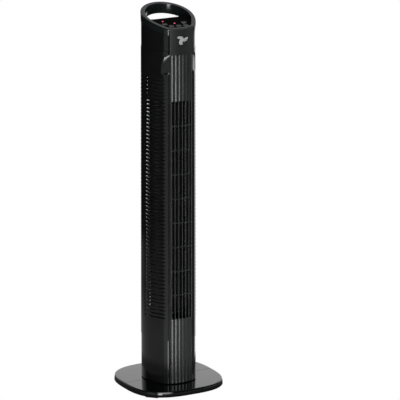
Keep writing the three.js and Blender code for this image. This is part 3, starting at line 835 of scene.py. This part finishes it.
def oval_ring(half, scale, z, steps):
    turns = [2 * math.pi * i / steps for i in range(steps)]
    return [(half[0] * scale * math.cos(a), half[1] * scale * math.sin(a), z) for a in turns]


BUTTONS = ("power", "speed", "mode", "timer", "swing")
BUTTON_HALF = (7.4, 5.4)
LAMP_HALF = (2.6, 1.8)


def deck_centre(node):
    """Plan position on the panel's face of a piece that stands square to it."""
    low, high = box(node)
    return (low.x + high.x) / 2, (low.y + high.y) / 2


def control_panel():
    loop = clipped(inner_outline(RING_WALL + GAP), DECK_REAR_Y)
    shape = prism(loop, lambda x, y: rim_z(y) - DECK_RECESS - DECK_THICK,
                  lambda x, y: rim_z(y) - DECK_RECESS)
    piece = make("control_panel_plate", *shape, DECK_BLACK, "column", "gloss_black",
                 ["control_panel"], crease=30)
    holes = [(name + "_button", BUTTON_HALF, 0.3) for name in BUTTONS]
    holes += [(name + "_lamp", LAMP_HALF, 0.25) for name in ("left", "right")]
    cutters = []
    for node, half, clearance in holes:
        wide = [r + clearance for r in half]
        hole = loft([oval_ring(wide, 1, z, 40) for z in (-9, 6)])
        place = on_deck(*deck_centre(node))
        cutters.append(make("cut", *moved(hole, place), GLOSS_BLACK, None))
    drill(piece, cutters)
    soften(piece, 0.4, 2, 40)


def button_cap(name):
    """Oval key with a rounded rim and a shallow dish on top."""
    node = name + "_button"
    x, y = deck_centre(node)
    profile = [(1.0, -4.0), (1.0, 0.55), (0.985, 0.85), (0.93, 1.08), (0.86, 1.15), (0.7, 1.02),
               (0.4, 0.85), (0.12, 0.8)]
    rings = [oval_ring(BUTTON_HALF, scale, z, 40) for scale, z in profile]
    shape = moved(loft(rings), on_deck(x, y))
    make(node + "_cap", *shape, BUTTON_GREY, node, "satin_black", [node], crease=50)


def lamp_lens(name):
    """Small oval lens with a domed face."""
    node = name + "_lamp"
    x, y = deck_centre(node)
    profile = [(1.0, -4.5), (1.0, 0.1), (0.94, 0.32), (0.75, 0.45), (0.4, 0.5), (0.1, 0.5)]
    rings = [oval_ring(LAMP_HALF, scale, z, 32) for scale, z in profile]
    make(node + "_lens", *moved(loft(rings), on_deck(x, y)), LAMP, "column", "lamp_red", [node],
         crease=60)


def handle_well():
    """Scooped floor behind the panel, open to the back under the ring."""
    start_y = DECK_REAR_Y + 2.5
    curve = [(start_y, rim_z(DECK_REAR_Y) - DECK_RECESS - GAP), (DECK_REAR_Y + 4, GRIP_FLOOR_Z - 5),
             (20, GRIP_FLOOR_Z - 1), (REAR_Y + 5, GRIP_FLOOR_Z - GAP)]
    inner = HEAD_INSET + WALL + GAP
    rows = []
    for i in range(25):
        p = bezier(curve, i / 24)
        y, z = p.x, p.y
        if y > REAR_Y - inner - 0.4:
            break
        rows.append((y, z))
    rows.append((REAR_Y - inner - 0.4, GRIP_FLOOR_Z - GAP))
    edge = [PLAN.offset(s, -inner) for s in plan_samples(0, S_REAR, 1.0)]

    def half_width(y, z):
        spot = min(edge, key=lambda p: abs(p.y - y) + (0 if p.x > 1 or y > 60 else 100))
        lip = RING_WALL + GAP - inner if z > ring_bottom(y) - 3 else 0
        return spot.x - lip

    top = []
    for y, z in rows:
        reach = max(half_width(y, z), 3)
        top.append([(reach * t, y, z + 1.5 * abs(t) ** 8) for t in spaced(-1, 1, 31)])
    rings = [ring + [(x, y, z - 2.4) for x, y, z in reversed(ring)] for ring in top]
    piece = make("handle_well_scoop", *loft(rings), SHELL_BLACK, "column", "satin_black",
                 ["handle_well"], crease=40)
    soften(piece, 0.4, 2, 50)


head_shell()
head_ring()
control_panel()
for button in BUTTONS:
    button_cap(button)
for lamp in ("left", "right"):
    lamp_lens(lamp)
handle_well()


# ---------- inside and behind ----------
def impeller():
    """Cross-flow impeller: curved blades held by thin rings between two end discs."""
    low, high = box("impeller")
    axis_y = (low.y + high.y) / 2
    outer = high.x
    blades, depth, thick = 34, 10.5, 1.1
    disc_low, disc_high = low.z, box("top_bearing_plate")[0].z - 7
    shapes = []
    section = []
    for side in (0.5, -0.5):
        for t in spaced(0, 1, 7):
            along = t if side > 0 else 1 - t
            r = outer - 0.8 - depth * along
            lean = 0.22 * math.sin(math.pi * 0.5 * along) + side * thick / r
            section.append((r * math.cos(lean), r * math.sin(lean)))
    for i in range(blades):
        turn = Matrix.Rotation(2 * math.pi * i / blades, 4, "Z")
        shapes.append(moved(prism(section, disc_low + 1, disc_high - 1), turn))
    discs = 8
    for i in range(discs):
        z = disc_low + (disc_high - disc_low - 1.8) * i / (discs - 1)
        inner = 0.01 if i in (0, discs - 1) else outer - depth - 2
        shapes.append(turned([(inner, z), (outer - 0.4, z), (outer, z + 0.4), (outer, z + 1.4),
                              (outer - 0.4, z + 1.8), (inner, z + 1.8)], 96))
    shapes.append(turned([(0.01, disc_high - 1), (4, disc_high - 1), (4, high.z - 0.6),
                          (3.4, high.z), (0.01, high.z)], 32))
    shape = moved(merged(*shapes), Matrix.Translation((0, axis_y, 0)))
    make("impeller_wheel", *shape, DARK_PLASTIC, "impeller", "dark_plastic", ["impeller"])


def rear_screw(node):
    """Pan-head screw with a cross recess, facing backwards."""
    low, high = box(node)
    x, z = (low.x + high.x) / 2, (low.z + high.z) / 2
    head = (high.x - low.x) / 2
    profile = [(0.01, low.y), (1.2, low.y), (1.6, low.y + 0.8), (1.6, high.y - 2.6), (head, high.y - 2.5),
               (head, high.y - 1.3), (head * 0.9, high.y - 0.6), (head * 0.6, high.y - 0.15),
               (0.01, high.y)]
    upright = Matrix.Translation((x, 0, z)) @ Matrix.Rotation(-math.pi / 2, 4, "X")
    piece = make(node + "_cross_head", *moved(turned(profile, 40), upright), STEEL, "column", "steel",
                 [node])
    cutters = []
    for angle in (0.3, 0.3 + math.pi / 2):
        arm = moved(block(-1.7, 1.7, -0.35, 0.35, high.y - 1.3, high.y + 1),
                    Matrix.Rotation(angle, 4, "Z"))
        cutters.append(make("cut", *moved(arm, upright), STEEL, None))
    drill(piece, cutters)
    soften(piece, 0.08, 2, 40)


def cord_gland():
    """Rubber bush with a collar and grip ribs."""
    low, high = box("cord_gland")
    collar = REAR_Y + GAP
    profile = [(3.2, low.y), (5.0, low.y), (5.0, collar), (7.6, collar), (8.0, collar + 0.4),
               (7.6, collar + 1.6), (6.7, collar + 2.2)]
    ribs = 4
    for i in range(ribs):
        y = collar + 3 + i * 3.1
        r = 6.6 - 0.42 * i
        profile += [(r - 0.8, y), (r, y + 0.5), (r, y + 1.7), (r - 0.8, y + 2.2)]
    profile += [(4.6, high.y - 0.4), (4.2, high.y), (3.5, high.y), (3.2, high.y - 0.4)]
    upright = Matrix.Translation((0, 0, (low.z + high.z) / 2)) @ Matrix.Rotation(-math.pi / 2, 4, "X")
    make("cord_gland_bush", *moved(turned(profile, 48), upright), RUBBER, "column", "rubber",
         ["cord_gland"], crease=50)


def swivel_neck():
    """Turned neck that joins the base to the column."""
    low, high = box("swivel_post")
    base_top = BASE_HIGH.z
    washer = box("thrust_washer")[0].z - GAP
    bore, neck, flange, post = 10, 29, 36, 18
    profile = [(bore, low.z), (neck - 0.6, low.z), (neck, low.z + 0.6), (neck, base_top + GAP),
               (flange - 0.5, base_top + GAP), (flange, base_top + 0.8), (flange, washer - 0.4),
               (flange - 0.4, washer), (post, washer), (post, high.z - 0.5), (post - 0.5, high.z),
               (bore + 0.4, high.z), (bore, high.z - 0.4)]
    make("swivel_neck_post", *turned(profile, 96), DARK_PLASTIC, "base", "dark_plastic",
         ["swivel_post"], crease=40)


impeller()
for screw in range(1, 5):
    rear_screw(f"rear_screw_{screw}")
cord_gland()
swivel_neck()


# ---------- floor, light and camera ----------
FLOOR_GLOW, FLOOR_GLOW_NEAR = 0.1, 0.3
FLOOR_GLOW_FADE = (0.95, 0.45)  # metres from the fan's axis, as is the edge of the dark
FLOOR_DARK_EDGE = (0.24, 0.3)


def emission(nodes, colour, strength):
    light = nodes.new("ShaderNodeEmission")
    light.inputs["Color"].default_value = (*colour, 1)
    light.inputs["Strength"].default_value = strength
    return light


def studio_floor():
    """Floor that is white to the camera; in reflections it glows round the fan and is dark under it."""
    steps = 96
    radius = 1400
    ring = [(radius * math.cos(2 * math.pi * i / steps), radius * math.sin(2 * math.pi * i / steps), 0)
            for i in range(steps)]
    material = bpy.data.materials.new("pale_floor")
    material.use_nodes = True
    nodes, links = material.node_tree.nodes, material.node_tree.links
    nodes.remove(nodes["Principled BSDF"])
    white = emission(nodes, (1, 1, 1), 1.0)
    glow = emission(nodes, (1, 1, 1), FLOOR_GLOW)  # its strength follows the distance below
    place = nodes.new("ShaderNodeTexCoord")
    distance = nodes.new("ShaderNodeVectorMath")
    distance.operation = "LENGTH"  # metres from the fan's axis
    links.new(place.outputs["Object"], distance.inputs[0])
    away = distance.outputs["Value"]
    extra = fade(nodes, links, away, *FLOOR_GLOW_FADE, FLOOR_GLOW_NEAR - FLOOR_GLOW)
    beyond = fade(nodes, links, away, *FLOOR_DARK_EDGE)
    extra = math_node(nodes, links, "MULTIPLY", extra, beyond)
    links.new(math_node(nodes, links, "ADD", extra, FLOOR_GLOW), glow.inputs["Strength"])
    clear = nodes.new("ShaderNodeBsdfTransparent")
    links.new(beyond, clear.inputs["Color"])
    faint = nodes.new("ShaderNodeAddShader")
    links.new(glow.outputs[0], faint.inputs[0])
    links.new(clear.outputs[0], faint.inputs[1])
    path = nodes.new("ShaderNodeLightPath")
    choice = nodes.new("ShaderNodeMixShader")
    links.new(path.outputs["Is Camera Ray"], choice.inputs["Fac"])
    links.new(faint.outputs[0], choice.inputs[1])
    links.new(white.outputs[0], choice.inputs[2])
    links.new(choice.outputs[0], nodes["Material Output"].inputs["Surface"])
    floor = make("studio_floor", ring, [tuple(range(steps))], material, None)


# Soft light panels round the studio: azimuth from the front (towards +X), its half width and
# fade, the lowest and highest elevation and their fade, all in degrees, and the strength.
PANELS = [
    (152, 40, 35, 4, 26, 8, 1.25),
    (125, 20, 8, -35, 0, 6, 1.4),
    (-33, 4, 5, -40, 0, 6, 10.0),
    (-20, 10, 16, 4, 34, 8, 6.0),
    (-65, 12, 8, -30, 14, 12, 0.4),
    (60, 12, 14, -28, 10, 10, 0.25),
    (128, 16, 24, 38, 54, 8, 0.7),
]
STUDIO_LEVEL = 0.008


def math_node(nodes, links, operation, a, b):
    node = nodes.new("ShaderNodeMath")
    node.operation = operation
    for socket, value in zip(node.inputs, (a, b)):
        if isinstance(value, (int, float)):
            socket.default_value = value
        else:
            links.new(value, socket)
    return node.outputs["Value"]


def fade(nodes, links, value, start, end, top=1.0):
    """Smooth step of a value from 0 at start to top at end."""
    ramp = nodes.new("ShaderNodeMapRange")
    ramp.interpolation_type = "SMOOTHSTEP"
    ramp.inputs["From Min"].default_value = start
    ramp.inputs["From Max"].default_value = end
    ramp.inputs["To Max"].default_value = top
    links.new(value, ramp.inputs["Value"])
    return ramp.outputs["Result"]


def sine(degrees):
    return math.sin(math.radians(degrees))


def cosine(degrees):
    return math.cos(math.radians(min(degrees, 180)))


def light_panel(nodes, links, level, height, azimuth, half, soft, low, high, edge, strength):
    facing = nodes.new("ShaderNodeVectorMath")
    facing.operation = "DOT_PRODUCT"
    a = math.radians(azimuth)
    facing.inputs[1].default_value = (math.sin(a), -math.cos(a), 0)
    links.new(level, facing.inputs[0])
    across = fade(nodes, links, facing.outputs["Value"], cosine(half + soft), cosine(half), strength)
    above = fade(nodes, links, height, sine(low - edge), sine(low))
    over = fade(nodes, links, height, sine(high), sine(high + edge))
    below = math_node(nodes, links, "SUBTRACT", 1.0, over)
    return math_node(nodes, links, "MULTIPLY", across, math_node(nodes, links, "MULTIPLY", above, below))


def studio_world():
    """White to the camera; dim, with soft panels, in everything that reflects it."""
    world = bpy.data.worlds.new("studio")
    bpy.context.scene.world = world
    world.use_nodes = True
    nodes, links = world.node_tree.nodes, world.node_tree.links
    background = nodes["Background"]
    place = nodes.new("ShaderNodeTexCoord")
    parts = nodes.new("ShaderNodeSeparateXYZ")
    links.new(place.outputs["Generated"], parts.inputs[0])
    flat = nodes.new("ShaderNodeCombineXYZ")
    links.new(parts.outputs["X"], flat.inputs["X"])
    links.new(parts.outputs["Y"], flat.inputs["Y"])
    level = nodes.new("ShaderNodeVectorMath")
    level.operation = "NORMALIZE"
    links.new(flat.outputs[0], level.inputs[0])
    total = STUDIO_LEVEL
    for panel in PANELS:
        value = light_panel(nodes, links, level.outputs["Vector"], parts.outputs["Z"], *panel)
        total = math_node(nodes, links, "ADD", value, total)
    path = nodes.new("ShaderNodeLightPath")
    seen = nodes.new("ShaderNodeMix")
    seen.data_type = "FLOAT"
    links.new(path.outputs["Is Camera Ray"], seen.inputs["Factor"])
    links.new(total, seen.inputs["A"])
    seen.inputs["B"].default_value = 1.0
    links.new(seen.outputs["Result"], background.inputs["Strength"])
    background.inputs["Color"].default_value = (1, 1, 1, 1)


# The photo's camera: degrees, metres, and the lens in millimetres on a 36 mm sensor.
CAMERA_AZIMUTH, CAMERA_ELEVATION, CAMERA_ROLL = -28.3, 15.01, 0.07
CAMERA_DISTANCE, CAMERA_LENS = 8.38, 305.3
AIM_RIGHT, AIM_DOWN = 0.0786, 0.0077  # where it points, from the fan's middle


def camera():
    """Long lens from the fan's front left, looking down at it."""
    azimuth, elevation = math.radians(CAMERA_AZIMUTH), math.radians(CAMERA_ELEVATION)
    target = Vector((0, 0, TOP_Z / 2 * MM))
    back = Vector((math.sin(azimuth) * math.cos(elevation), -math.cos(azimuth) * math.cos(elevation),
                   math.sin(elevation)))
    right = Vector((math.cos(azimuth), math.sin(azimuth), 0))
    up = back.cross(right)
    aim = target + right * AIM_RIGHT - up * AIM_DOWN
    data = bpy.data.cameras.new("camera")
    data.sensor_width = 36
    data.lens = CAMERA_LENS
    view = bpy.data.objects.new("camera", data)
    bpy.context.scene.collection.objects.link(view)
    view.location = target + back * CAMERA_DISTANCE
    view.rotation_mode = "QUATERNION"
    roll = Quaternion((0, 0, 1), math.radians(CAMERA_ROLL))
    view.rotation_quaternion = (aim - view.location).to_track_quat("-Z", "Y") @ roll
    data.clip_end = 50
    bpy.context.scene.camera = view


studio_floor()
studio_world()
camera()
bpy.context.scene.view_settings.view_transform = "Standard"
